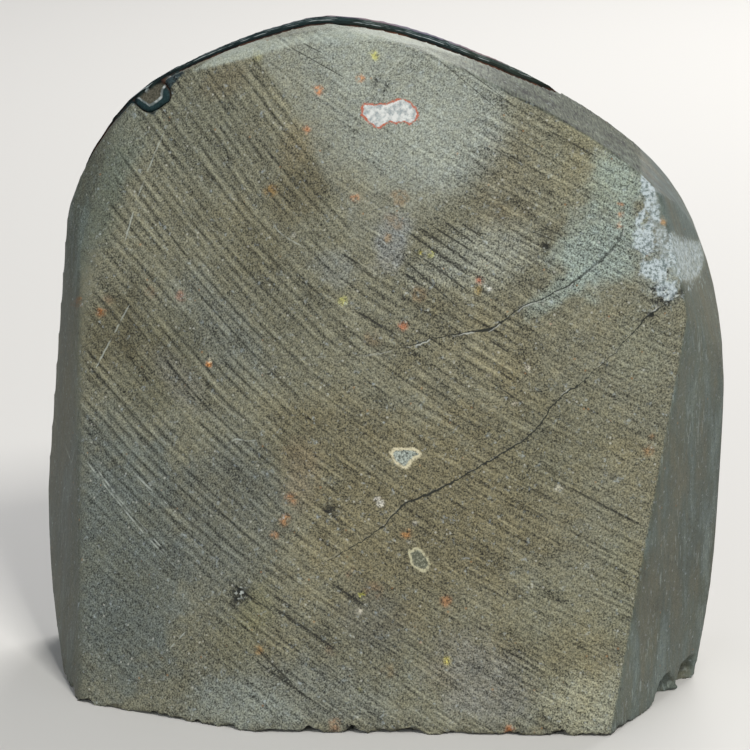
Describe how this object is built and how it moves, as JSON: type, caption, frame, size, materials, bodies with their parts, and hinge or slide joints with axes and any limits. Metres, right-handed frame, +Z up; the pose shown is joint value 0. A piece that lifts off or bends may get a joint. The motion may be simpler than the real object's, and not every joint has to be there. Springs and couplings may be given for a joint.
{
  "type": "raw amethyst geode",
  "caption": "Self-standing raw amethyst geode: a sawn basalt arch with a flat foot, lined with agate and a crust of violet crystals.",
  "frame": {"origin": "under the middle of the whole piece, on the surface that the sawn foot stands on", "axes": "+Z up, +Y out of the hollow with the crystals, -Y out of the sawn back, +X to the right seen from the back"},
  "size_m": [0.1272, 0.0596, 0.1205],
  "materials": {
    "basalt": "dry sawn stone, matt, with saw marks",
    "agate": "smooth ground agate, slightly glossy",
    "amethyst": "clear violet crystal, glossy faces"
  },
  "bodies": {
    "root": {"basalt_matrix": "basalt", "agate_rind": "agate", "amethyst_crystals": "amethyst"}
  },
  "joints": []
}
